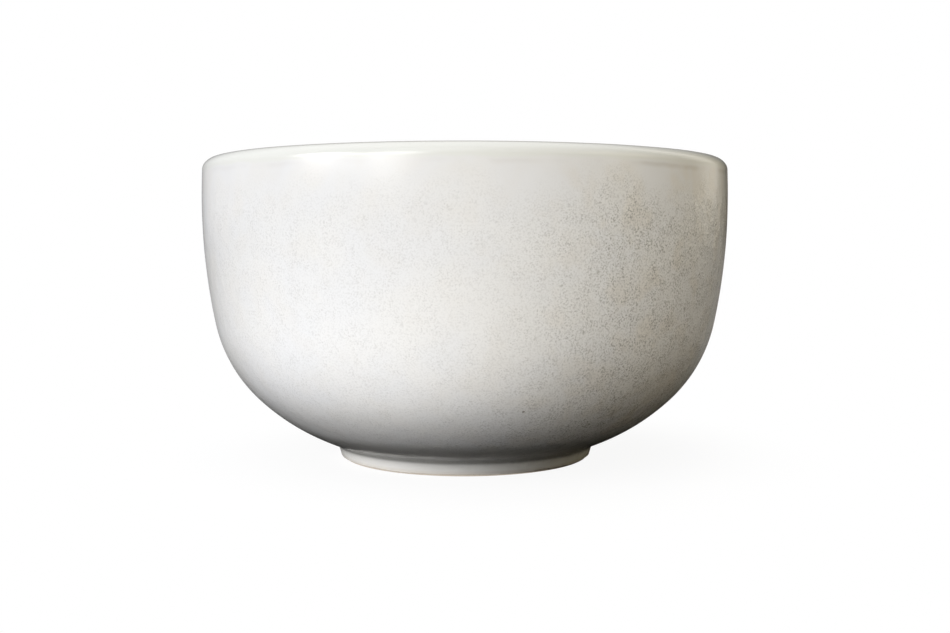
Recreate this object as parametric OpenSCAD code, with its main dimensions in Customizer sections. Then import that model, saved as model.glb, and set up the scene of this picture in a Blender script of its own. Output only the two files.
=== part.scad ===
// Latte bowl: a deep, straight-sided stoneware bowl on a low foot ring.
// Everything is turned about the Z axis. The bowl stands on z = 0.
// The outline is a chain of arcs that run smoothly into each other, so the
// outside, the clay under the glaze and the inside share the same arc centres.

/* [Bowl] */
// Widest outside diameter, over the glaze
bowl_d = 150; // [135:1:165]
// Height from the table to the top of the lip
bowl_h = 85.5; // [78:0.5:95]
// Thickness of the fired clay wall
wall_t = 4.6; // [4:0.1:7]
// Thickness of the fired clay floor in the middle
floor_t = 5; // [4:0.1:8]
// Curve radius of the middle of the floor inside
dish_r = 320; // [260:10:600]

/* [Side] */
// Curve radius of the side above its widest line
rim_r = 200; // [150:5:300]
// Height of the side above its widest line
rim_rise = 9.3; // [6:0.1:13]
// Angle through which the upright side curves in
wall_turn = 11.5; // [8:0.5:16]
// Curve radius of the belly
belly_r = 41; // [34:0.5:48]
// Slope angle at which the belly runs into the base
belly_turn = 46; // [40:0.5:52]
// Slope angle at which the base runs into the foot
base_turn = 70.5; // [66:0.5:76]

/* [Lip] */
// Curve radius of the shoulder below the lip
shoulder_r = 3; // [2:0.1:5]
// Slope angle at which the shoulder runs into the lip
shoulder_turn = 38; // [30:1:50]
// Curve radius of the lip's outer half
lip_r = 4; // [3:0.1:5]
// Slope angle on the shoulder where the two glaze coats meet
lip_line = 10; // [6:1:20]

/* [Foot] */
// Diameter of the glazed foot, taken down to the table
foot_d = 72.5; // [62:0.5:80]
// Height at which the base runs into the foot
foot_h = 4.3; // [3.5:0.1:7]
// Angle by which the foot draws in towards the table
foot_taper = 16; // [0:1:25]
// Width of the clay foot ring at the table
foot_w = 6; // [4.5:0.1:9]
// Angle by which the well in the foot opens towards the table
well_draft = 12; // [0:1:25]
// Radius of the foot ring's two lower edges
foot_edge_r = 1; // [0.4:0.1:1.5]

/* [Glaze] */
// Thickness of the fired glaze
glaze_t = 0.4; // [0.2:0.05:0.6]
// Radius with which the glaze fills an inside corner
pool_r = 0.8; // [0.4:0.1:1.5]
// Height of the foot that is wiped bare of glaze
bare_h = 1; // [0.8:0.1:2]

/* [Hidden] */
$fn = 144;
// Farthest that a chord may lie from its arc
chord_err = 0.01;
CLAY = [0.79, 0.71, 0.61];
GLAZE = [0.93, 0.925, 0.905];
LINER = [0.94, 0.94, 0.915];

// Point at distance r from c, at an angle above straight out
function polar(c, r, angle) = c + r * [cos(angle), sin(angle)];

// Points of an arc about c, all but its first one
function arc(c, r, from, to) =
    let (count = ceil(abs(to - from) / (2 * acos(1 - chord_err / r))))
    [for (k = [1:count]) polar(c, r, from + (to - from) * k / count)];

// Height and width that an arc of radius 1 covers between two slope angles
function drop(from, to) = sin(to) - sin(from);
function reach(from, to) = cos(from) - cos(to);

// Radius of the foot's glazed side and of its clay side at height z
function foot_side(z) = foot_d / 2 + z * tan(foot_taper);
function foot_clay(z) = foot_side(z) - glaze_t / cos(foot_taper);

// Radius of the well's clay side and of its glazed side at height z
function well_clay(z) = foot_clay(0) - foot_w - z * tan(well_draft);
function well_side(z) = well_clay(z) - glaze_t / cos(well_draft);

// Glaze and clay together
full_t = wall_t + 2 * glaze_t;

// Where the side is widest, below the rim's three arcs
rim_lean = asin(rim_rise / rim_r);
widest_z = bowl_h - rim_rise
    - shoulder_r * drop(rim_lean, shoulder_turn)
    - lip_r * drop(shoulder_turn, 90);

// Where the base curve ends and the glaze pools against the foot
pool_z = foot_h - pool_r * drop(foot_taper, base_turn);
root = [foot_side(pool_z) + pool_r * reach(foot_taper, base_turn), foot_h];

// The side and base radii that lead from the widest line to the root
side_w = bowl_d / 2 - root.x - belly_r * reach(wall_turn, belly_turn);
side_h = widest_z - root.y - belly_r * drop(wall_turn, belly_turn);
side_mix = drop(0, wall_turn) * reach(belly_turn, base_turn)
    - reach(0, wall_turn) * drop(belly_turn, base_turn);
wall_r = (side_h * reach(belly_turn, base_turn)
    - side_w * drop(belly_turn, base_turn)) / side_mix;
base_r = (side_w * drop(0, wall_turn) - side_h * reach(0, wall_turn)) / side_mix;

// Centres of the outside's arcs, from the shoulder down to the base
rim_c = [bowl_d / 2 - rim_r, widest_z];
shoulder_c = polar(rim_c, rim_r - shoulder_r, rim_lean);
lip_c = polar(shoulder_c, shoulder_r - lip_r, shoulder_turn);
wall_c = [bowl_d / 2 - wall_r, widest_z];
belly_c = polar(wall_c, wall_r - belly_r, -wall_turn);
base_c = polar(belly_c, belly_r - base_r, -belly_turn);

// The lip's inner half touches the top of the lip and the inside of the rim
rim_in_r = rim_r - full_t;
crest = polar(lip_c, lip_r, 90) - rim_c;
lip_in_r = (crest * crest - rim_in_r * rim_in_r) / (2 * (rim_in_r + crest.y));
lip_in_c = rim_c + crest - [0, lip_in_r];
lip_in_lean = atan2(crest.y - lip_in_r, crest.x);

// The clay floor lies on the foot ring and is dished in the middle
seat_z = root.y + glaze_t * sin(base_turn);
floor_z = seat_z + floor_t + glaze_t;
dish_c = [0, floor_z + dish_r];

// The floor's outer curve touches the dish and the inside of the belly
belly_in_r = belly_r - full_t;
belly_foot = polar(belly_c, belly_in_r, -belly_turn) - dish_c;
floor_r = (dish_r * dish_r - belly_foot * belly_foot)
    / (2 * (dish_r - belly_foot * polar([0, 0], 1, -belly_turn)));
floor_c = polar(belly_c, belly_in_r - floor_r, -belly_turn);
dish_turn = atan2(floor_c.y - dish_c.y, floor_c.x);

// Outside from the lip line down to the root, at a depth under the glaze
function outside(depth) = concat(
    [polar(shoulder_c, shoulder_r - depth, lip_line)],
    arc(shoulder_c, shoulder_r - depth, lip_line, rim_lean),
    arc(rim_c, rim_r - depth, rim_lean, 0),
    arc(wall_c, wall_r - depth, 0, -wall_turn),
    arc(belly_c, belly_r - depth, -wall_turn, -belly_turn),
    arc(base_c, base_r - depth, -belly_turn, -base_turn));

// Inside from the middle of the floor up, over the lip and down to its line
function inside(depth) = concat(
    [[0, floor_z - depth]],
    arc(dish_c, dish_r + depth, -90, dish_turn),
    arc(floor_c, floor_r + depth, dish_turn, -belly_turn),
    arc(belly_c, belly_in_r + depth, -belly_turn, -wall_turn),
    arc(wall_c, wall_r - full_t + depth, -wall_turn, 0),
    arc(rim_c, rim_in_r + depth, 0, lip_in_lean),
    arc(lip_in_c, lip_in_r - depth, 180 + lip_in_lean, 90),
    arc(lip_c, lip_r - depth, 90, shoulder_turn),
    arc(shoulder_c, shoulder_r - depth, shoulder_turn, lip_line));

// A list of points in the other order
function reversed(points) = [for (k = [len(points) - 1:-1:0]) points[k]];

module turned(points) {
    rotate_extrude() polygon(points);
}

// Bowl of clay: side, lip and floor, with a flat seat underneath
module bowl_body() {
    outer = outside(glaze_t);
    color(CLAY) turned(concat(
        inside(glaze_t),
        [for (k = [1:len(outer) - 1]) outer[k]],
        [[0, seat_z]]));
}

// Clay ring under the bowl, with rounded edges and a bare face to stand on
module foot_ring() {
    outer_edge = [foot_clay(foot_edge_r) - foot_edge_r / cos(foot_taper), foot_edge_r];
    inner_edge = [well_clay(foot_edge_r) + foot_edge_r / cos(well_draft), foot_edge_r];
    color(CLAY) turned(concat(
        [[well_clay(seat_z), seat_z], [foot_clay(seat_z), seat_z]],
        [polar(outer_edge, foot_edge_r, -foot_taper)],
        arc(outer_edge, foot_edge_r, -foot_taper, -90),
        [polar(inner_edge, foot_edge_r, -90)],
        arc(inner_edge, foot_edge_r, -90, well_draft - 180)));
}

// Glaze on the outside, pooled against the foot and rounded at its bare line
module outer_glaze() {
    pool_c = polar(root, pool_r, -base_turn);
    hem_c = [foot_clay(bare_h), bare_h];
    color(GLAZE) turned(concat(
        outside(0),
        arc(pool_c, pool_r, 180 - base_turn, 180 - foot_taper),
        [polar(hem_c, glaze_t, -foot_taper)],
        arc(hem_c, glaze_t, -foot_taper, -foot_taper - 90),
        [[foot_clay(seat_z), seat_z]],
        reversed(outside(glaze_t))));
}

// Glaze on the inside, carried over the lip to the line on the shoulder
module liner_glaze() {
    color(LINER) turned(concat(inside(0), reversed(inside(glaze_t))));
}

// Glaze under the floor and down the inside of the foot ring
module well_glaze() {
    ceiling_z = seat_z - glaze_t;
    pool_c = [
        well_side(ceiling_z - pool_r) - pool_r / cos(well_draft),
        ceiling_z - pool_r];
    hem_c = [well_clay(bare_h), bare_h];
    color(GLAZE) turned(concat(
        [[0, seat_z], [0, ceiling_z], polar(pool_c, pool_r, 90)],
        arc(pool_c, pool_r, 90, well_draft),
        [polar(hem_c, glaze_t, well_draft - 180)],
        arc(hem_c, glaze_t, well_draft - 180, well_draft - 90),
        [[well_clay(seat_z), seat_z]]));
}

bowl_body();
foot_ring();
outer_glaze();
liner_glaze();
well_glaze();
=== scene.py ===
"""Latte bowl: its glazes, its bare foot and a plain studio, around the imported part."""
from collections import namedtuple
from math import acos, asin, atan2, ceil, cos, degrees, pi, radians, sin, tan

import bpy
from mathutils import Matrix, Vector


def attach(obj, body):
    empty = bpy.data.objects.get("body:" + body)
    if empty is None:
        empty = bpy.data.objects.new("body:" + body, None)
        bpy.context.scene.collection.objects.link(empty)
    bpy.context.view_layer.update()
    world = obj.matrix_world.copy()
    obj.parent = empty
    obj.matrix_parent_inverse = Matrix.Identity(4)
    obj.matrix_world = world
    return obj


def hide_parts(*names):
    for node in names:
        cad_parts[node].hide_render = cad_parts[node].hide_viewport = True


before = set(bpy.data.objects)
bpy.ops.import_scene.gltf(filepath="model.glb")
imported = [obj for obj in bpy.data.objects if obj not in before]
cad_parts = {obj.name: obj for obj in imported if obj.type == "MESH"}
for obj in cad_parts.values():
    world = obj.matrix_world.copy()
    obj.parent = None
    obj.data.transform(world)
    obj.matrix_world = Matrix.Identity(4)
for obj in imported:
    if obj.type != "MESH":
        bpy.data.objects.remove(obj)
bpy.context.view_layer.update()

MM = 0.001

# Bowl and side, as in the part's own source
BOWL_D = 150 * MM
BOWL_H = 85.5 * MM
WALL_T = 4.6 * MM
FLOOR_T = 5 * MM
DISH_R = 320 * MM
RIM_R = 200 * MM
RIM_RISE = 9.3 * MM
WALL_TURN = 11.5
BELLY_R = 41 * MM
BELLY_TURN = 46
BASE_TURN = 70.5

# Lip and foot
SHOULDER_R = 3 * MM
SHOULDER_TURN = 38
LIP_R = 4 * MM
LIP_LINE = 10
FOOT_D = 72.5 * MM
FOOT_H = 4.3 * MM
FOOT_TAPER = 16
FOOT_W = 6 * MM
WELL_DRAFT = 12
FOOT_EDGE_R = 1 * MM

# Glaze
GLAZE_T = 0.4 * MM
POOL_R = 0.8 * MM
BARE_H = 1 * MM

# Radius to which the glaze really fills the corner over the foot
COVE_R = 3.5 * MM

# How finely the pieces are turned: steps round the axis, and how far a chord may lie from
# its arc on a side that shows and on one that lies on the clay
TURN_STEPS = 360
SHOWN_CHORD = 0.004 * MM
HIDDEN_CHORD = 0.03 * MM
WIDEST_STEP = 6
WELD = 0.002 * MM

# Edges sharper than this angle stay sharp
SHARP_EDGE = 35

# Waves in the glaze, left by dipping and by the wheel, and the waver of a wiped edge
FLOW_SIZE = 14 * MM
FLOW_DEPTH = 0.05 * MM
FLOW_FADE = 2 * MM
HEM_WAVE_SIZE = 9 * MM
HEM_WAVE = 0.5 * MM
HEM_TOP = 2.6 * MM
HEM_FULL = 1.3 * MM

# Turning marks on the bare foot
MARK_COUNT = 5
MARK_DEPTH = 0.04 * MM

# Painted shade: the specks, stains and the darker band under the lip show less on the lit front left
# and more away from it: which way the lit side lies, between how far out towards there, and how much
# of them shows
LIT_SIDE_TOWARD = -46
PAINTED_SHADE_SPECKS = (50 * MM, 5 * MM, 0.38, 1.45)

# How far the height at which the specks start wanders up and down
SPECKS_WAVE = 18 * MM

# Heights between which painted shade darkens the glaze just above the foot
BASE_SHADE_HEIGHTS = (12 * MM, 8 * MM)

# The lip's glaze runs down over the outer coat to a soft, wavy line, with a broken darker band under
# it
LIP_RUN = 81.8 * MM
LIP_RUN_WAVE = 1.6 * MM
LIP_RUN_SOFT = 0.6 * MM
UNDER_LIP_DROP = 0.8 * MM

# A pinhole in the glaze: how far round the bowl, how high, how dark, and how deep in pits
PINHOLE_ROUND = 13.5
PINHOLE_Z = 21 * MM
PINHOLE_R = 0.42 * MM
PINHOLE_DARK = 0.75
PINHOLE_DEPTH = 8.0

# Heights between which the painted light on the foot's side sets in
FOOT_LIGHT_FROM = FOOT_H - 0.2 * MM
FOOT_LIGHT_TO = FOOT_H - 1.2 * MM

# Specks: how far apart, and how wide
DUST = (0.80 * MM, 0.22 * MM)
SPOTS = (13 * MM, 0.34 * MM)
GROG_GRAINS = (1.1 * MM, 0.24 * MM)

# Sizes of the soft patches
PATCH_SIZE = 17 * MM
STAIN_SIZE = 9 * MM
CLUSTER_SIZE = 3.5 * MM
GRAIN_SIZE = 0.45 * MM
CLAY_PATCH_SIZE = 8 * MM
TOOTH_SIZE = 0.30 * MM
WAVE_SIZE = 4.5 * MM
PEEL_SIZE = 0.5 * MM

# How a pattern is read: between which of its levels, and what it gives at each
PATCHES_READ = (0.35, 0.65)
STAINS_READ = (0.45, 0.68)
CLUSTERS_READ = (0.3, 0.7, 0.6, 1.4)
UNDER_LIP_READ = (0.42, 0.58)
GRAIN_READ = (0.40, 0.78)
GLOSS_READ = (0.2, 0.8)
DUST_ROUGHENS = 0.2
SPECK_SIZES = (0.0, 1.0, 0.45, 1.25)
SPECK_STRENGTHS = (0.0, 1.0, 0.35, 1.0)
SPECK_CORE = 0.35
CLAY_PATCHES_READ = (0.3, 0.8, 0.0, 0.45)
TOOTH_READ = (0.35, 0.75, 0.0, 0.25)
TOOTH_ROUGH = (0.2, 0.8, 0.68, 0.9)
GROG_SHOWS = 0.6

# Relief of the bare clay, in millimetres
CLAY_WAVE = 0.02
CLAY_PEEL = 0.02
CLAY_PIT = 0.03
TOOTH_DEPTH = 0.03

# Finishes, as linear colours, among them painted light on the foot and painted shade above it
CREAM = (0.802, 0.795, 0.782, 1)
COOL_WHITE = (0.787, 0.787, 0.790, 1)
LIP_CREAM = (0.778, 0.782, 0.745, 1)
# Painted light: a paler cream for the glaze on the foot's side, where light falls on it
FOOT_PAINTED_LIGHT = (0.930, 0.918, 0.885, 1)
WARM_STAIN = (0.74, 0.69, 0.61, 1)
UNDER_LIP_DARK = (0.46, 0.42, 0.34, 1)
# Painted shade: a darker grey for the glaze just above the foot, where the lower belly faces the floor
PAINTED_BASE_SHADE = (0.44, 0.43, 0.405, 1)
IRON_DUST = (0.36, 0.35, 0.33, 1)
IRON_SPOT = (0.20, 0.17, 0.13, 1)
THIN_GLAZE = (0.50, 0.42, 0.34, 1)
BUFF_CLAY = (0.64, 0.57, 0.49, 1)
DARK_CLAY = (0.46, 0.38, 0.30, 1)
GROG = (0.26, 0.20, 0.15, 1)

# A glaze: its two colours; between which heights its specks fade in; how strongly grain,
# dust, spots, stains, the darker band under the lip and the painted shade above the foot show;
# the depths of its waves, peel and pits in millimetres; where its edge gets thin; its least and most
# roughness
Glaze = namedtuple("Glaze", "colours fade grain dust spots stain smudge base wave peel pit thin gloss")
WHITE_GLAZE = Glaze(
    colours=(CREAM, COOL_WHITE), fade=(82 * MM, 67 * MM),
    grain=0.62, dust=0.45, spots=0.40, stain=0.30, smudge=0.20, base=0.72,
    wave=0.12, peel=0.060, pit=0.016, thin=(1.9 * MM, 0.9 * MM, 0.0, 0.35), gloss=(0.12, 0.20))
LINER_GLAZE = Glaze(
    colours=(LIP_CREAM, CREAM), fade=(81 * MM, 72 * MM),
    grain=0.28, dust=0.28, spots=0.30, stain=0.15, smudge=0.0, base=0.0,
    wave=0.05, peel=0.020, pit=0.006, thin=(85.15 * MM, 85.5 * MM, 0.0, 0.55), gloss=(0.10, 0.16))
WELL_GLAZE = Glaze(
    colours=(CREAM, COOL_WHITE), fade=(9 * MM, 8 * MM),
    grain=0.45, dust=0.45, spots=0.40, stain=0.20, smudge=0.0, base=0.0,
    wave=0.05, peel=0.030, pit=0.010, thin=(1.9 * MM, 0.9 * MM, 0.0, 0.35), gloss=(0.12, 0.20))

# Camera: its place, how far it looks down, and its lens
CAMERA_AT = (2.84 * MM, -341.2 * MM, 61.8 * MM)
LOOKS_DOWN = 3.59
LENS = 44.07
SENSOR = 36
NEAREST_SEEN = 10 * MM

# Studio light. Directions are degrees round the bowl from the front towards +X, and
# degrees above the table.
# Soft lights from the walls: toward where, how high, half angle, colour
WALL_LIGHT = (
    (-62, 22, 18, (8.60, 8.62, 8.68, 1)),
    (-30, 22, 18, (7.04, 7.05, 7.08, 1)),
    (-20, 50, 25, (0.80, 0.84, 0.90, 1)),
    (70, 25, 25, (1.24, 1.09, 0.76, 1)),
    (112, 20, 45, (0.36, 0.30, 0.18, 1)),
    (-120, 20, 50, (0.58, 0.58, 0.60, 1)),
    (180, 72, 42, (0.95, 0.95, 0.96, 1)),
    (0, 88, 62, (0.32, 0.32, 0.33, 1)))
ROOM_LIGHT = (0.02, 0.02, 0.02)

# Cards and windows that the glaze mirrors: from and to round the bowl, the softness of
# both ends, lower and upper edge, how far the edges fall from end to end, softness, colour
Card = namedtuple("Card", "start end start_soft end_soft low high fall soft colour")
CARDS = (
    Card(-73, -31, 3, 14, 9, 27, -8, 1.5, (3.0, 3.0, 3.0, 1)),
    Card(-77, -70, 2, 2, 5, 10, 0, 1.5, (0.51, 0.51, 0.52, 1)),
    Card(116, 137, 9, 2, -8, 50, 0, 6, (0.95, 0.92, 0.85, 1)),
    Card(137, 146, 2, 2, -8, 50, 0, 6, (0.12, 0.115, 0.10, 1)))

# The lower edge of a card falls by one part in this many of what its upper edge falls
LOWER_EDGE_FALL = 3

# Light that comes back from the table: where round the bowl, how far out, how wide, colour
TABLE_LIGHT = (
    (-40, 100 * MM, 20 * MM, (3.70, 3.70, 3.72, 1)),
    (-15, 100 * MM, 20 * MM, (4.80, 4.80, 4.80, 1)),
    (10, 100 * MM, 20 * MM, (1.50, 1.40, 1.25, 1)),
    (-75, 115 * MM, 32 * MM, (0.75, 0.76, 0.78, 1)),
    (-50, 115 * MM, 32 * MM, (3.00, 3.02, 3.06, 1)),
    (-25, 115 * MM, 32 * MM, (1.15, 1.17, 1.20, 1)),
    (0, 115 * MM, 32 * MM, (2.75, 2.70, 2.60, 1)),
    (50, 115 * MM, 32 * MM, (0.65, 0.50, 0.32, 1)),
    (-20, 185 * MM, 90 * MM, (0.95, 0.97, 1.00, 1)),
    (30, 220 * MM, 110 * MM, (2.70, 2.52, 2.15, 1)),
    (5, 300 * MM, 120 * MM, (1.40, 1.38, 1.35, 1)),
    (20, 420 * MM, 300 * MM, (1.77, 1.70, 1.50, 1)),
    (180, 200 * MM, 120 * MM, (2.30, 2.26, 2.18, 1)),
    (120, 260 * MM, 110 * MM, (0.90, 0.86, 0.79, 1)))

# Light under the foot, so that the bearing face and the well can be looked at
UNDER_FOOT = (0.85, 0.84, 0.82, 1)
UNDER_FOOT_R = (36.2 * MM, 34.8 * MM)
UNDER_FOOT_OFF = 2.4 * MM

# The floor: how pale the camera sees it and how dim the bowl does, what share of its
# shadow shows and how far out, and how much of its white the glaze mirrors and from where.
# FLOOR_OPEN is how bright the lit floor is away from the bowl, so that it stays white there
FLOOR_SIZE = 6
FLOOR_DROP = 0.02 * MM
FLOOR_PALE = (0.86, 0.86, 0.86, 1)
FLOOR_DIM = (0.02, 0.02, 0.02, 1)
FLOOR_OPEN = 0.74
SHADOW_SHARE = 0.11
SHADOW_FROM = 60 * MM
SHADOW_TO = 110 * MM
MIRRORED_FLOOR = 0.20
MIRRORED_FROM = 60 * MM
MIRRORED_TO = 220 * MM
WHITE = (1, 1, 1, 1)

Arc = namedtuple("Arc", "centre radius start end")


def polar(centre, radius, angle):
    """Point at a radius from a centre, at an angle above straight out."""
    return centre + radius * Vector((cos(radians(angle)), sin(radians(angle))))


def drop(start, end):
    """Height that an arc of radius 1 covers between two slope angles."""
    return sin(radians(end)) - sin(radians(start))


def reach(start, end):
    """Width that an arc of radius 1 covers between two slope angles."""
    return cos(radians(start)) - cos(radians(end))


def slope(angle):
    """How far a side leans out for each step up."""
    return tan(radians(angle))


def foot_side(height):
    """Radius of the foot's glazed side."""
    return FOOT_D / 2 + height * slope(FOOT_TAPER)


def foot_clay(height):
    """Radius of the foot's clay side."""
    return foot_side(height) - GLAZE_T / cos(radians(FOOT_TAPER))


def well_clay(height):
    """Radius of the clay side of the well in the foot."""
    return foot_clay(0) - FOOT_W - height * slope(WELL_DRAFT)


def well_side(height):
    """Radius of the well's glazed side."""
    return well_clay(height) - GLAZE_T / cos(radians(WELL_DRAFT))


# The outside's arcs, from the lip down to the root of the foot
FULL_T = WALL_T + 2 * GLAZE_T
RIM_LEAN = degrees(asin(RIM_RISE / RIM_R))
WIDEST_Z = (BOWL_H - RIM_RISE
            - SHOULDER_R * drop(RIM_LEAN, SHOULDER_TURN)
            - LIP_R * drop(SHOULDER_TURN, 90))
POOL_Z = FOOT_H - POOL_R * drop(FOOT_TAPER, BASE_TURN)
ROOT = Vector((foot_side(POOL_Z) + POOL_R * reach(FOOT_TAPER, BASE_TURN), FOOT_H))
SIDE_W = BOWL_D / 2 - ROOT.x - BELLY_R * reach(WALL_TURN, BELLY_TURN)
SIDE_H = WIDEST_Z - ROOT.y - BELLY_R * drop(WALL_TURN, BELLY_TURN)
SIDE_MIX = (drop(0, WALL_TURN) * reach(BELLY_TURN, BASE_TURN)
            - reach(0, WALL_TURN) * drop(BELLY_TURN, BASE_TURN))
WALL_R = (SIDE_H * reach(BELLY_TURN, BASE_TURN) - SIDE_W * drop(BELLY_TURN, BASE_TURN)) / SIDE_MIX
BASE_R = (SIDE_W * drop(0, WALL_TURN) - SIDE_H * reach(0, WALL_TURN)) / SIDE_MIX
RIM_C = Vector((BOWL_D / 2 - RIM_R, WIDEST_Z))
SHOULDER_C = polar(RIM_C, RIM_R - SHOULDER_R, RIM_LEAN)
LIP_C = polar(SHOULDER_C, SHOULDER_R - LIP_R, SHOULDER_TURN)
WALL_C = Vector((BOWL_D / 2 - WALL_R, WIDEST_Z))
BELLY_C = polar(WALL_C, WALL_R - BELLY_R, -WALL_TURN)
BASE_C = polar(BELLY_C, BELLY_R - BASE_R, -BELLY_TURN)

# The inside's arcs, from the middle of the floor to the lip
RIM_IN_R = RIM_R - FULL_T
CREST = polar(LIP_C, LIP_R, 90) - RIM_C
LIP_IN_R = (CREST.dot(CREST) - RIM_IN_R ** 2) / (2 * (RIM_IN_R + CREST.y))
LIP_IN_C = RIM_C + CREST - Vector((0, LIP_IN_R))
LIP_IN_LEAN = degrees(atan2(CREST.y - LIP_IN_R, CREST.x))
SEAT_Z = ROOT.y + GLAZE_T * sin(radians(BASE_TURN))
FLOOR_Z = SEAT_Z + FLOOR_T + GLAZE_T
DISH_C = Vector((0, FLOOR_Z + DISH_R))
BELLY_IN_R = BELLY_R - FULL_T
BELLY_FOOT = polar(BELLY_C, BELLY_IN_R, -BELLY_TURN) - DISH_C
FLOOR_R = ((DISH_R ** 2 - BELLY_FOOT.dot(BELLY_FOOT))
           / (2 * (DISH_R - BELLY_FOOT.dot(polar(Vector((0, 0)), 1, -BELLY_TURN)))))
FLOOR_C = polar(BELLY_C, BELLY_IN_R - FLOOR_R, -BELLY_TURN)
DISH_TURN = degrees(atan2(FLOOR_C.y - DISH_C.y, FLOOR_C.x))


def outside(depth):
    """Arcs from the lip line down to the foot, at a depth under the glaze."""
    return [
        Arc(SHOULDER_C, SHOULDER_R - depth, LIP_LINE, RIM_LEAN),
        Arc(RIM_C, RIM_R - depth, RIM_LEAN, 0),
        Arc(WALL_C, WALL_R - depth, 0, -WALL_TURN),
        Arc(BELLY_C, BELLY_R - depth, -WALL_TURN, -BELLY_TURN),
        Arc(BASE_C, BASE_R - depth, -BELLY_TURN, -BASE_TURN)]


def inside(depth):
    """Arcs from the middle of the floor up, over the lip and down to its line."""
    return [
        Arc(DISH_C, DISH_R + depth, -90, DISH_TURN),
        Arc(FLOOR_C, FLOOR_R + depth, DISH_TURN, -BELLY_TURN),
        Arc(BELLY_C, BELLY_IN_R + depth, -BELLY_TURN, -WALL_TURN),
        Arc(WALL_C, WALL_R - FULL_T + depth, -WALL_TURN, 0),
        Arc(RIM_C, RIM_IN_R + depth, 0, LIP_IN_LEAN),
        Arc(LIP_IN_C, LIP_IN_R - depth, 180 + LIP_IN_LEAN, 90),
        Arc(LIP_C, LIP_R - depth, 90, SHOULDER_TURN),
        Arc(SHOULDER_C, SHOULDER_R - depth, SHOULDER_TURN, LIP_LINE)]


def cove():
    """Centre of the pooled glaze's hollow curve, and the slope at which the base meets it."""
    lean = slope(FOOT_TAPER)
    across = foot_side(0) + COVE_R / cos(radians(FOOT_TAPER)) - BASE_C.x
    gap = BASE_R + COVE_R
    part = across * lean - BASE_C.y
    whole = 1 + lean ** 2
    rest = across ** 2 + BASE_C.y ** 2 - gap ** 2
    height = (-part - (part ** 2 - whole * rest) ** 0.5) / whole
    centre = Vector((BASE_C.x + across + height * lean, height))
    return centre, -degrees(atan2(height - BASE_C.y, centre.x - BASE_C.x))


def outside_at(height):
    """Radius of the belly's glazed side at a height."""
    return BELLY_C.x + (BELLY_R ** 2 - (height - BELLY_C.y) ** 2) ** 0.5


def back(arcs):
    """The same arcs, run the other way."""
    return [Arc(a.centre, a.radius, a.end, a.start) for a in reversed(arcs)]


class Profile:
    """A turned piece's outline, drawn by extruding and spinning its last vertex."""

    def __init__(self, name, start):
        bpy.ops.object.select_all(action="DESELECT")
        bpy.ops.mesh.primitive_plane_add(size=MM, location=(start.x, 0, start.y))
        bpy.ops.object.transform_apply()
        self.piece = bpy.context.object
        self.piece.name = name
        self.piece.data.name = name
        self.end = start
        bpy.ops.object.mode_set(mode="EDIT")
        bpy.ops.mesh.select_all(action="SELECT")
        bpy.ops.mesh.merge(type="CENTER")

    def line(self, point):
        """A straight stretch to a point."""
        step = point - self.end
        bpy.ops.mesh.extrude_region_move(TRANSFORM_OT_translate={"value": (step.x, 0, step.y)})
        self.end = point

    def arcs(self, arcs, chord):
        """A run of arcs, each from where the last one ended."""
        for arc in arcs:
            turn = arc.end - arc.start
            step = min(WIDEST_STEP, degrees(2 * acos(1 - chord / arc.radius)))
            bpy.ops.mesh.spin(
                steps=ceil(abs(turn) / step),
                angle=radians(turn),
                center=(arc.centre.x, 0, arc.centre.y),
                axis=(0, 1, 0))
            self.end = polar(arc.centre, arc.radius, arc.end)

    def turn(self):
        """Turns the outline about the axis and closes the skin."""
        bpy.ops.mesh.select_all(action="SELECT")
        bpy.ops.mesh.remove_doubles(threshold=WELD)
        bpy.ops.mesh.spin(steps=TURN_STEPS, angle=2 * pi, center=(0, 0, 0), axis=(0, 0, 1))
        bpy.ops.mesh.select_all(action="SELECT")
        bpy.ops.mesh.remove_doubles(threshold=WELD)
        bpy.ops.mesh.normals_make_consistent(inside=False)
        bpy.ops.object.mode_set(mode="OBJECT")
        return self.piece


def make_outer_glaze():
    """Glaze on the outside, pooled against the foot, with a rolled lower edge."""
    cove_c, cove_turn = cove()
    hem_c = Vector((foot_clay(BARE_H), BARE_H))
    side = outside(0)
    side[-1] = Arc(BASE_C, BASE_R, -BELLY_TURN, -cove_turn)
    outline = Profile("outer_glaze_coat", polar(SHOULDER_C, SHOULDER_R, LIP_LINE))
    outline.arcs(side, SHOWN_CHORD)
    outline.arcs([Arc(cove_c, COVE_R, 180 - cove_turn, 180 - FOOT_TAPER)], SHOWN_CHORD)
    outline.line(polar(hem_c, GLAZE_T, -FOOT_TAPER))
    outline.arcs([Arc(hem_c, GLAZE_T, -FOOT_TAPER, -FOOT_TAPER - 90)], SHOWN_CHORD)
    outline.line(Vector((foot_clay(SEAT_Z), SEAT_Z)))
    outline.line(polar(BASE_C, BASE_R - GLAZE_T, -BASE_TURN))
    outline.arcs(back(outside(GLAZE_T)), HIDDEN_CHORD)
    outline.line(polar(SHOULDER_C, SHOULDER_R, LIP_LINE))
    return outline.turn()


def make_liner_glaze():
    """Glaze on the inside, carried over the lip to its line on the shoulder."""
    outline = Profile("liner_glaze_coat", Vector((0, FLOOR_Z)))
    outline.arcs(inside(0), SHOWN_CHORD)
    outline.line(polar(SHOULDER_C, SHOULDER_R - GLAZE_T, LIP_LINE))
    outline.arcs(back(inside(GLAZE_T)), HIDDEN_CHORD)
    return outline.turn()


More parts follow.
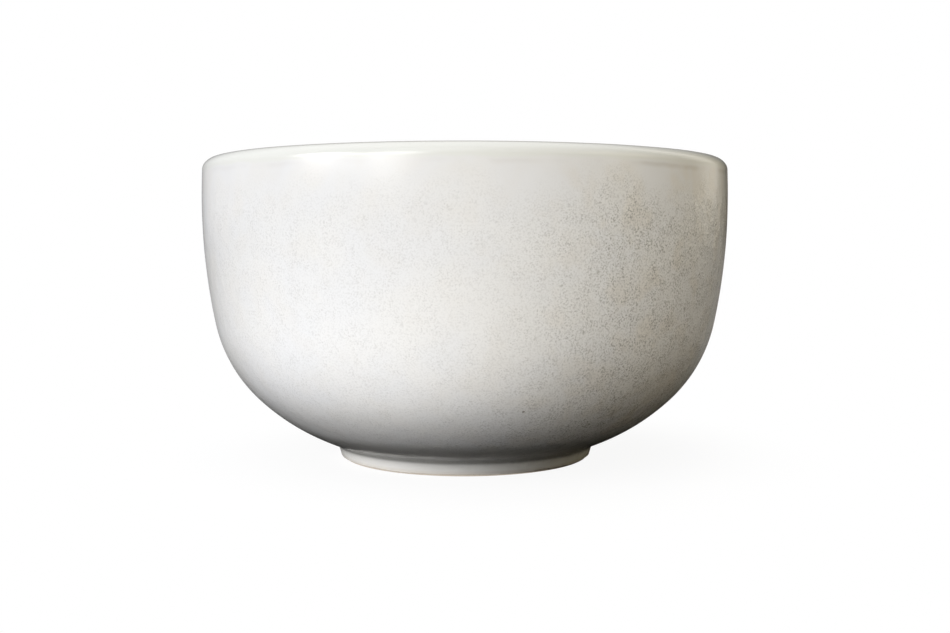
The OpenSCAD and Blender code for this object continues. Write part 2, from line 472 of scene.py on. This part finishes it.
def make_well_glaze():
    """Glaze under the floor and down the inside of the foot."""
    ceiling_z = SEAT_Z - GLAZE_T
    pool_z = ceiling_z - POOL_R
    pool_c = Vector((well_side(pool_z) - POOL_R / cos(radians(WELL_DRAFT)), pool_z))
    hem_c = Vector((well_clay(BARE_H), BARE_H))
    outline = Profile("well_glaze_coat", Vector((0, SEAT_Z)))
    outline.line(Vector((0, ceiling_z)))
    outline.line(polar(pool_c, POOL_R, 90))
    outline.arcs([Arc(pool_c, POOL_R, 90, WELL_DRAFT)], SHOWN_CHORD)
    outline.line(polar(hem_c, GLAZE_T, WELL_DRAFT - 180))
    outline.arcs([Arc(hem_c, GLAZE_T, WELL_DRAFT - 180, WELL_DRAFT - 90)], SHOWN_CHORD)
    outline.line(Vector((well_clay(SEAT_Z), SEAT_Z)))
    outline.line(Vector((0, SEAT_Z)))
    return outline.turn()


def make_foot():
    """Bare clay foot with rounded edges and turning marks on the face it stands on."""
    outer_r = foot_clay(FOOT_EDGE_R) - FOOT_EDGE_R / cos(radians(FOOT_TAPER))
    inner_r = well_clay(FOOT_EDGE_R) + FOOT_EDGE_R / cos(radians(WELL_DRAFT))
    outer_c = Vector((outer_r, FOOT_EDGE_R))
    inner_c = Vector((inner_r, FOOT_EDGE_R))
    outline = Profile("turned_foot", Vector((well_clay(SEAT_Z), SEAT_Z)))
    outline.line(Vector((foot_clay(SEAT_Z), SEAT_Z)))
    outline.line(polar(outer_c, FOOT_EDGE_R, -FOOT_TAPER))
    outline.arcs([Arc(outer_c, FOOT_EDGE_R, -FOOT_TAPER, -90)], SHOWN_CHORD)
    width = (outer_c.x - inner_c.x) / MARK_COUNT
    mark_r = (width ** 2 / 4 + MARK_DEPTH ** 2) / (2 * MARK_DEPTH)
    half = degrees(asin(width / 2 / mark_r))
    for mark in range(MARK_COUNT):
        centre = Vector((outer_c.x - (mark + 0.5) * width, MARK_DEPTH - mark_r))
        outline.arcs([Arc(centre, mark_r, 90 - half, 90 + half)], SHOWN_CHORD / 4)
    outline.arcs([Arc(inner_c, FOOT_EDGE_R, -90, WELL_DRAFT - 180)], SHOWN_CHORD)
    outline.line(Vector((well_clay(SEAT_Z), SEAT_Z)))
    return outline.turn()


def choose(piece):
    """Makes a piece the only one that the next step works on."""
    bpy.ops.object.select_all(action="DESELECT")
    piece.select_set(True)
    bpy.context.view_layer.objects.active = piece


def noise_texture(name, size):
    """A soft cloud pattern for displacing, with lumps of one size."""
    texture = bpy.data.textures.new(name, "CLOUDS")
    texture.noise_scale = size
    texture.noise_depth = 1
    return texture


def apply_displace(piece, texture, strength, middle, direction="NORMAL", group=""):
    """Pushes a piece's vertices by a pattern in its own space."""
    choose(piece)
    wave = piece.modifiers.new("Waves", "DISPLACE")
    wave.texture = texture
    wave.texture_coords = "LOCAL"
    wave.strength = strength
    wave.mid_level = middle
    wave.direction = direction
    wave.vertex_group = group
    bpy.ops.object.modifier_apply(modifier=wave.name)


def waver_hem(piece, texture):
    """Lets a wiped edge wander up and down a little, as a sponge leaves it."""
    hem = piece.vertex_groups.new(name="hem")
    for vertex in piece.data.vertices:
        share = (HEM_TOP - vertex.co.z) / (HEM_TOP - HEM_FULL)
        if share > 0:
            hem.add([vertex.index], min(1, share), "REPLACE")
    apply_displace(piece, texture, HEM_WAVE, 0.5, "Z", hem.name)
    piece.vertex_groups.clear()


def apply_flow(piece, texture):
    """Waves in a coat, which die out towards the line where the two coats meet."""
    seam = polar(SHOULDER_C, SHOULDER_R, LIP_LINE).y
    flow = piece.vertex_groups.new(name="flow")
    for vertex in piece.data.vertices:
        share = abs(vertex.co.z - seam) / FLOW_FADE
        flow.add([vertex.index], min(1, share), "REPLACE")
    apply_displace(piece, texture, FLOW_DEPTH, 1.0, "NORMAL", flow.name)
    piece.vertex_groups.clear()


def smooth(piece):
    """Shades a piece smooth, apart from its sharp edges."""
    choose(piece)
    bpy.ops.object.shade_smooth_by_angle(angle=radians(SHARP_EDGE))


def fill(tree, node, inputs):
    """Links or fills a node's inputs."""
    for name, value in inputs.items():
        if isinstance(value, bpy.types.NodeSocket):
            tree.links.new(value, node.inputs[name])
        else:
            node.inputs[name].default_value = value


def place(tree, kind, inputs=None, **settings):
    """Adds a node, with its settings and inputs."""
    node = tree.nodes.new("ShaderNode" + kind)
    for name, value in settings.items():
        setattr(node, name, value)
    fill(tree, node, inputs or {})
    return node


def math(tree, operation, *values):
    """A sum of one or more values."""
    inputs = dict(enumerate(values))
    return place(tree, "Math", inputs, operation=operation).outputs[0]


def times(tree, first, second):
    """Two values multiplied."""
    return math(tree, "MULTIPLY", first, second)


def distance_to(tree, where, point):
    """How far a place is from a point."""
    return place(tree, "VectorMath", {0: where, 1: point}, operation="DISTANCE").outputs["Value"]


def along(tree, where, way):
    """How far a place or a direction goes along a way."""
    return place(tree, "VectorMath", {0: where, 1: way}, operation="DOT_PRODUCT").outputs["Value"]


def wandering(tree, height, patches, wave):
    """A height that patches move up and down."""
    return math(tree, "MULTIPLY_ADD", math(tree, "SUBTRACT", patches, 0.5), wave, height)


def ramp(tree, value, low, high, to_low=0.0, to_high=1.0):
    """Goes smoothly from one value to another as its input goes from low to high."""
    inputs = {
        "Value": value,
        "From Min": low,
        "From Max": high,
        "To Min": to_low,
        "To Max": to_high}
    return place(tree, "MapRange", inputs, interpolation_type="SMOOTHSTEP").outputs[0]


def mix(tree, share, first, second):
    """Mixes two colours."""
    node = place(tree, "Mix", {0: share, 6: first, 7: second}, data_type="RGBA")
    return node.outputs[2]


def shader_group(name, inputs, outputs):
    """An empty node group with named inputs and outputs."""
    tree = bpy.data.node_groups.new(name, "ShaderNodeTree")
    for label, kind in inputs.items():
        tree.interface.new_socket(name=label, in_out="INPUT", socket_type="NodeSocket" + kind)
    for label, kind in outputs.items():
        tree.interface.new_socket(name=label, in_out="OUTPUT", socket_type="NodeSocket" + kind)
    return tree, tree.nodes.new("NodeGroupInput").outputs, tree.nodes.new("NodeGroupOutput").inputs


def use_group(tree, group, inputs):
    """Adds a group, and gives what it puts out."""
    node = tree.nodes.new("ShaderNodeGroup")
    node.node_tree = group
    fill(tree, node, inputs)
    return node.outputs


def make_speck_group():
    """Specks of iron: round spots of uneven size, scattered through the glaze."""
    inputs = {"Place": "Vector", "Spacing": "Float", "Radius": "Float"}
    tree, given, result = shader_group("Iron specks", inputs, {"Mask": "Float"})
    per_metre = math(tree, "DIVIDE", 1.0, given["Spacing"])
    cells = place(tree, "TexVoronoi", {"Vector": given["Place"], "Scale": per_metre})
    pick = place(tree, "SeparateColor", {"Color": cells.outputs["Color"]}).outputs
    distance = times(tree, cells.outputs["Distance"], given["Spacing"])
    outer = times(tree, given["Radius"], ramp(tree, pick["Red"], *SPECK_SIZES))
    inner = times(tree, outer, SPECK_CORE)
    spot = ramp(tree, distance, outer, inner)
    strength = ramp(tree, pick["Green"], *SPECK_STRENGTHS)
    tree.links.new(times(tree, spot, strength), result["Mask"])
    return tree


def make_cloud_group():
    """Soft uneven patches of one size, from 0 to 1."""
    inputs = {"Place": "Vector", "Size": "Float"}
    tree, given, result = shader_group("Soft patches", inputs, {"Patches": "Float"})
    per_metre = math(tree, "DIVIDE", 1.0, given["Size"])
    noise = place(tree, "TexNoise", {"Vector": given["Place"], "Scale": per_metre, "Detail": 2.0})
    tree.links.new(noise.outputs["Fac"], result["Patches"])
    return tree


def make_relief_group(clouds):
    """The glaze's own relief in millimetres: slow waves, orange peel and pits."""
    inputs = {
        "Place": "Vector",
        "Pits": "Float",
        "Wave": "Float",
        "Peel": "Float",
        "Pit depth": "Float"}
    tree, given, result = shader_group("Glaze relief", inputs, {"Height": "Float"})
    waves = use_group(tree, clouds, {"Place": given["Place"], "Size": WAVE_SIZE})["Patches"]
    peel = use_group(tree, clouds, {"Place": given["Place"], "Size": PEEL_SIZE})["Patches"]
    height = times(tree, waves, given["Wave"])
    height = math(tree, "MULTIPLY_ADD", peel, given["Peel"], height)
    pits = times(tree, given["Pits"], given["Pit depth"])
    tree.links.new(math(tree, "SUBTRACT", height, pits), result["Height"])
    return tree


def new_material(name):
    """A material with an empty tree, its shader and its place in the object's space."""
    material = bpy.data.materials.new(name)
    material.use_nodes = True
    tree = material.node_tree
    tree.nodes.clear()
    shader = place(tree, "BsdfPrincipled")
    output = place(tree, "OutputMaterial")
    tree.links.new(shader.outputs["BSDF"], output.inputs["Surface"])
    where = place(tree, "TexCoord").outputs["Object"]
    height = place(tree, "SeparateXYZ", {"Vector": where}).outputs["Z"]
    return material, tree, shader, where, height


def patches_in(tree, groups, where, size):
    """Soft patches of one size, from 0 to 1."""
    return use_group(tree, groups["clouds"], {"Place": where, "Size": size})["Patches"]


def specks_in(tree, groups, where, specks):
    """How much of a speck there is at a place, from 0 to 1."""
    spacing, radius = specks
    inputs = {"Place": where, "Spacing": spacing, "Radius": radius}
    return use_group(tree, groups["specks"], inputs)["Mask"]


def bump_to(tree, height, shader):
    """Gives a shader a relief in millimetres."""
    bump = place(tree, "Bump", {"Height": height, "Distance": MM, "Strength": 1.0})
    tree.links.new(bump.outputs["Normal"], shader.inputs["Normal"])


def coat_at_lip(tree, colour, runs, patches, painted_shade_side, share):
    """The lip's glaze over the outer coat, with a broken darker band under its line."""
    edge = LIP_RUN - UNDER_LIP_DROP
    smudge = times(
        tree,
        ramp(tree, runs, edge - 2 * LIP_RUN_SOFT, edge),
        ramp(tree, runs, LIP_RUN, edge, 0.0, share))
    smudge = times(tree, smudge, ramp(tree, patches, *UNDER_LIP_READ))
    # A darker broken band under the lip's line; painted shade makes it stronger away from the lit side
    colour = mix(tree, times(tree, smudge, painted_shade_side), colour, UNDER_LIP_DARK)
    over = ramp(tree, runs, LIP_RUN - LIP_RUN_SOFT, LIP_RUN + LIP_RUN_SOFT)
    return mix(tree, over, colour, LIP_CREAM)


def coat_at_foot(tree, colour, height, glaze):
    """The glaze above the foot with its painted shade, on the foot with its painted light, and at its
    own thin edge.
    """
    # Painted shade: the glaze just above the foot is darkened towards the foot
    colour = mix(tree, ramp(tree, height, *BASE_SHADE_HEIGHTS, 0.0, glaze.base), colour, PAINTED_BASE_SHADE)
    # Painted light: the glaze on the foot's side is lighter below these heights
    colour = mix(tree, ramp(tree, height, FOOT_LIGHT_FROM, FOOT_LIGHT_TO), colour, FOOT_PAINTED_LIGHT)
    return mix(tree, ramp(tree, height, *glaze.thin), colour, THIN_GLAZE)


def pinhole_at(tree, where):
    """How much of the pinhole there is at a place, from 0 to 1."""
    middle = outside_at(PINHOLE_Z) * toward(PINHOLE_ROUND, 0) + Vector((0, 0, PINHOLE_Z))
    return ramp(tree, distance_to(tree, where, middle), PINHOLE_R, 0.5 * PINHOLE_R)


def glaze_material(name, groups, glaze):
    """An off-white gloss glaze over pale clay."""
    material, tree, shader, where, height = new_material(name)
    dust = specks_in(tree, groups, where, DUST)
    spots = specks_in(tree, groups, where, SPOTS)
    grain = patches_in(tree, groups, where, GRAIN_SIZE)
    patches = patches_in(tree, groups, where, PATCH_SIZE)
    clusters = patches_in(tree, groups, where, CLUSTER_SIZE)
    stain = patches_in(tree, groups, where, STAIN_SIZE)
    pinhole = pinhole_at(tree, where)

    # Painted shade: how much the specks, stains and the band under the lip grow away from the lit
    # front left
    painted_shade_side = ramp(tree, along(tree, where, toward(LIT_SIDE_TOWARD, 0)), *PAINTED_SHADE_SPECKS)
    shown = ramp(tree, wandering(tree, height, patches, SPECKS_WAVE), *glaze.fade)
    shown = times(tree, times(tree, shown, painted_shade_side), ramp(tree, clusters, *CLUSTERS_READ))

    colour = mix(tree, ramp(tree, patches, *PATCHES_READ), *glaze.colours)
    stained = times(tree, ramp(tree, stain, *STAINS_READ), times(tree, painted_shade_side, glaze.stain))
    colour = mix(tree, stained, colour, WARM_STAIN)
    runs = wandering(tree, height, stain, LIP_RUN_WAVE)
    colour = coat_at_lip(tree, colour, runs, patches, painted_shade_side, glaze.smudge)
    grained = times(tree, ramp(tree, grain, *GRAIN_READ), times(tree, shown, glaze.grain))
    colour = mix(tree, grained, colour, IRON_DUST)
    dusted = times(tree, dust, times(tree, shown, glaze.dust))
    colour = mix(tree, dusted, colour, IRON_DUST)
    spotted = times(tree, spots, times(tree, shown, glaze.spots))
    colour = mix(tree, spotted, colour, IRON_SPOT)
    colour = coat_at_foot(tree, colour, height, glaze)
    colour = mix(tree, times(tree, pinhole, PINHOLE_DARK), colour, IRON_SPOT)
    tree.links.new(colour, shader.inputs["Base Color"])

    rough = ramp(tree, grain, *GLOSS_READ, *glaze.gloss)
    rough = math(tree, "MULTIPLY_ADD", dusted, DUST_ROUGHENS, rough)
    tree.links.new(rough, shader.inputs["Roughness"])

    raised = {
        "Place": where,
        "Pits": math(tree, "MAXIMUM", times(tree, dust, shown), times(tree, pinhole, PINHOLE_DEPTH)),
        "Wave": times(tree, shown, glaze.wave),
        "Peel": times(tree, shown, glaze.peel),
        "Pit depth": glaze.pit}
    bump_to(tree, use_group(tree, groups["relief"], raised)["Height"], shader)
    return material


def clay_material(name, groups):
    """Bare fired stoneware: buff, with grog and a fine tooth."""
    material, tree, shader, where, _ = new_material(name)
    grog = specks_in(tree, groups, where, GROG_GRAINS)
    tooth = patches_in(tree, groups, where, TOOTH_SIZE)
    patches = patches_in(tree, groups, where, CLAY_PATCH_SIZE)
    colour = mix(tree, ramp(tree, patches, *CLAY_PATCHES_READ), BUFF_CLAY, DARK_CLAY)
    colour = mix(tree, ramp(tree, tooth, *TOOTH_READ), colour, DARK_CLAY)
    colour = mix(tree, times(tree, grog, GROG_SHOWS), colour, GROG)
    tree.links.new(colour, shader.inputs["Base Color"])
    tree.links.new(ramp(tree, tooth, *TOOTH_ROUGH), shader.inputs["Roughness"])
    raised = {
        "Place": where,
        "Pits": grog,
        "Wave": CLAY_WAVE,
        "Peel": CLAY_PEEL,
        "Pit depth": CLAY_PIT}
    relief = use_group(tree, groups["relief"], raised)["Height"]
    bump_to(tree, math(tree, "MULTIPLY_ADD", tooth, TOOTH_DEPTH, relief), shader)
    return material


def dress(piece, material):
    """Gives a piece one material."""
    piece.data.materials.clear()
    piece.data.materials.append(material)


def toward(azimuth, elevation):
    """Unit vector to a place round the bowl: 0 is the front, 90 is +X."""
    a, e = radians(azimuth), radians(elevation)
    return Vector((sin(a) * cos(e), -cos(a) * cos(e), sin(e)))


def lobe(tree, direction, aim, half_angle):
    """A round soft patch of the studio's walls, from 1 at its middle to 0 at its edge."""
    return ramp(tree, along(tree, direction, aim), cos(radians(half_angle)), 1.0)


def light_of(tree, share, colour):
    """A colour, in proportion to a patch's share."""
    return mix(tree, share, (0, 0, 0, 1), colour)


def sum_of(tree, lights):
    """Adds up lights."""
    total = lights[0]
    for light in lights[1:]:
        total = place(tree, "VectorMath", {0: total, 1: light}, operation="ADD").outputs[0]
    return total


def card_share(tree, azimuth, elevation, card):
    """A soft-edged upright patch of the studio's walls, as its share from 0 to 1."""
    across = times(
        tree,
        ramp(tree, azimuth, card.start - card.start_soft, card.start + card.start_soft),
        ramp(tree, azimuth, card.end + card.end_soft, card.end - card.end_soft))
    fallen = ramp(tree, azimuth, card.start, card.end)
    lower = math(tree, "MULTIPLY_ADD", fallen, -card.fall / LOWER_EDGE_FALL, elevation)
    upper = math(tree, "MULTIPLY_ADD", fallen, -card.fall, elevation)
    upright = times(
        tree,
        ramp(tree, lower, card.low - card.soft, card.low + card.soft),
        ramp(tree, upper, card.high + card.soft, card.high - card.soft))
    return times(tree, across, upright)


def make_world():
    """Studio light from the walls round the bowl; the camera sees them as white."""
    world = bpy.data.worlds.new("Studio")
    bpy.context.scene.world = world
    world.use_nodes = True
    tree = world.node_tree
    tree.nodes.clear()
    direction = place(tree, "TexCoord").outputs["Generated"]
    axes = place(tree, "SeparateXYZ", {"Vector": direction}).outputs
    toward_viewer = times(tree, axes["Y"], -1.0)
    azimuth = math(tree, "DEGREES", math(tree, "ARCTAN2", axes["X"], toward_viewer))
    elevation = math(tree, "DEGREES", math(tree, "ARCSINE", axes["Z"]))
    lights = []
    for azimuth_of, height_of, half_angle, colour in WALL_LIGHT:
        aim = toward(azimuth_of, height_of)
        lights.append(light_of(tree, lobe(tree, direction, aim, half_angle), colour))
    for card in CARDS:
        lights.append(light_of(tree, card_share(tree, azimuth, elevation, card), card.colour))
    total = sum_of(tree, lights + [ROOM_LIGHT])
    path = place(tree, "LightPath").outputs
    seen = mix(tree, path["Is Camera Ray"], total, WHITE)
    studio = place(tree, "Background", {"Color": seen, "Strength": 1.0})
    output = place(tree, "OutputWorld")
    tree.links.new(studio.outputs[0], output.inputs["Surface"])


def table_light(tree, where):
    """Light from the lit parts of the table, which are away from the bowl's own shade."""
    lights = []
    for azimuth, distance, size, colour in TABLE_LIGHT:
        centre = distance * toward(azimuth, 0)
        share = ramp(tree, distance_to(tree, where, centre), size, 0.0)
        lights.append(light_of(tree, share, colour))
    middle = UNDER_FOOT_OFF * toward(LIT_SIDE_TOWARD, 0)
    share = ramp(tree, distance_to(tree, where, middle), *UNDER_FOOT_R)
    lights.append(light_of(tree, share, UNDER_FOOT))
    return sum_of(tree, lights)


def blend(tree, share, first, second):
    """Mixes two surfaces."""
    return place(tree, "MixShader", {0: share, 1: first, 2: second}).outputs[0]


def floor_material():
    """White to the camera with a soft shadow, lit patches to the bowl, dim in its glaze."""
    material = bpy.data.materials.new("Pale floor")
    material.use_nodes = True
    tree = material.node_tree
    tree.nodes.clear()
    where = place(tree, "TexCoord").outputs["Object"]
    distance = place(tree, "VectorMath", {0: where}, operation="LENGTH").outputs["Value"]
    path = place(tree, "LightPath").outputs

    share = ramp(tree, distance, SHADOW_FROM, SHADOW_TO, SHADOW_SHARE, 0.0)
    strength = math(tree, "SUBTRACT", 1.0, times(tree, share, FLOOR_OPEN))
    strength = math(tree, "DIVIDE", strength, math(tree, "SUBTRACT", 1.0, share))
    lit = place(tree, "BsdfDiffuse", {"Color": FLOOR_PALE}).outputs[0]
    white = place(tree, "Emission", {"Color": WHITE, "Strength": strength}).outputs[0]
    seen = blend(tree, share, white, lit)

    dark = place(tree, "BsdfDiffuse", {"Color": FLOOR_DIM}).outputs[0]
    glow = place(tree, "Emission", {"Color": table_light(tree, where), "Strength": 1.0}).outputs[0]
    lighting = place(tree, "AddShader", {0: dark, 1: glow}).outputs[0]
    away = ramp(tree, distance, MIRRORED_FROM, MIRRORED_TO, 0.0, MIRRORED_FLOOR)
    shown = blend(tree, away, dark, white)

    mirrored = math(tree, "MAXIMUM", path["Is Glossy Ray"], path["Is Transmission Ray"])
    unseen = blend(tree, mirrored, lighting, shown)
    surface = blend(tree, path["Is Camera Ray"], unseen, seen)
    underside = place(tree, "NewGeometry").outputs["Backfacing"]
    below = times(tree, underside, path["Is Camera Ray"])
    clear = place(tree, "BsdfTransparent").outputs[0]
    output = place(tree, "OutputMaterial")
    tree.links.new(blend(tree, below, surface, clear), output.inputs["Surface"])
    material.cycles.emission_sampling = "NONE"
    return material


def make_floor():
    """A plain pale floor that keeps the bowl's soft shadow."""
    bpy.ops.object.select_all(action="DESELECT")
    bpy.ops.mesh.primitive_plane_add(size=FLOOR_SIZE, location=(0, 0, -FLOOR_DROP))
    bpy.ops.object.transform_apply()
    floor = bpy.context.object
    floor.name = "floor"
    dress(floor, floor_material())


def make_camera():
    """The photo's view, fitted to the outline."""
    camera = bpy.data.objects.new("camera", bpy.data.cameras.new("camera"))
    bpy.context.scene.collection.objects.link(camera)
    camera.location = CAMERA_AT
    camera.rotation_euler = (radians(90 - LOOKS_DOWN), 0, 0)
    camera.data.lens = LENS
    camera.data.sensor_width = SENSOR
    camera.data.clip_start = NEAREST_SEEN
    bpy.context.scene.camera = camera


def make_pieces():
    """The coats of glaze and the foot, finely turned, in place of the plain solids."""
    flow = noise_texture("Glaze flow", FLOW_SIZE)
    wiped = noise_texture("Wiped edge", HEM_WAVE_SIZE)
    pieces = {
        "outer_glaze": make_outer_glaze(),
        "liner_glaze": make_liner_glaze(),
        "well_glaze": make_well_glaze(),
        "foot_ring": make_foot()}
    for node in ("outer_glaze", "liner_glaze"):
        apply_flow(pieces[node], flow)
    for node in ("outer_glaze", "well_glaze"):
        waver_hem(pieces[node], wiped)
    for piece in pieces.values():
        smooth(piece)
    return pieces


def finish_pieces(pieces):
    """Gives each piece its finish and its body, and hides the node that it stands for."""
    clouds = make_cloud_group()
    groups = {"specks": make_speck_group(), "clouds": clouds, "relief": make_relief_group(clouds)}
    white = glaze_material("Speckled white glaze", groups, WHITE_GLAZE)
    liner = glaze_material("Cream liner glaze", groups, LINER_GLAZE)
    well = glaze_material("White well glaze", groups, WELL_GLAZE)
    clay = clay_material("Bare buff clay", groups)
    finishes = {
        "outer_glaze": (white, "glaze"),
        "well_glaze": (well, "glaze"),
        "liner_glaze": (liner, "liner"),
        "foot_ring": (clay, "clay")}
    for node, piece in pieces.items():
        material, slot = finishes[node]
        dress(piece, material)
        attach(piece, "root")
        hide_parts(node)
    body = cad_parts["bowl_body"]
    for index in range(len(body.data.materials)):
        body.material_slots[index].link = "OBJECT"
        body.material_slots[index].material = clay


make_camera()
make_world()
make_floor()
finish_pieces(make_pieces())
bpy.context.scene.view_settings.view_transform = "Standard"
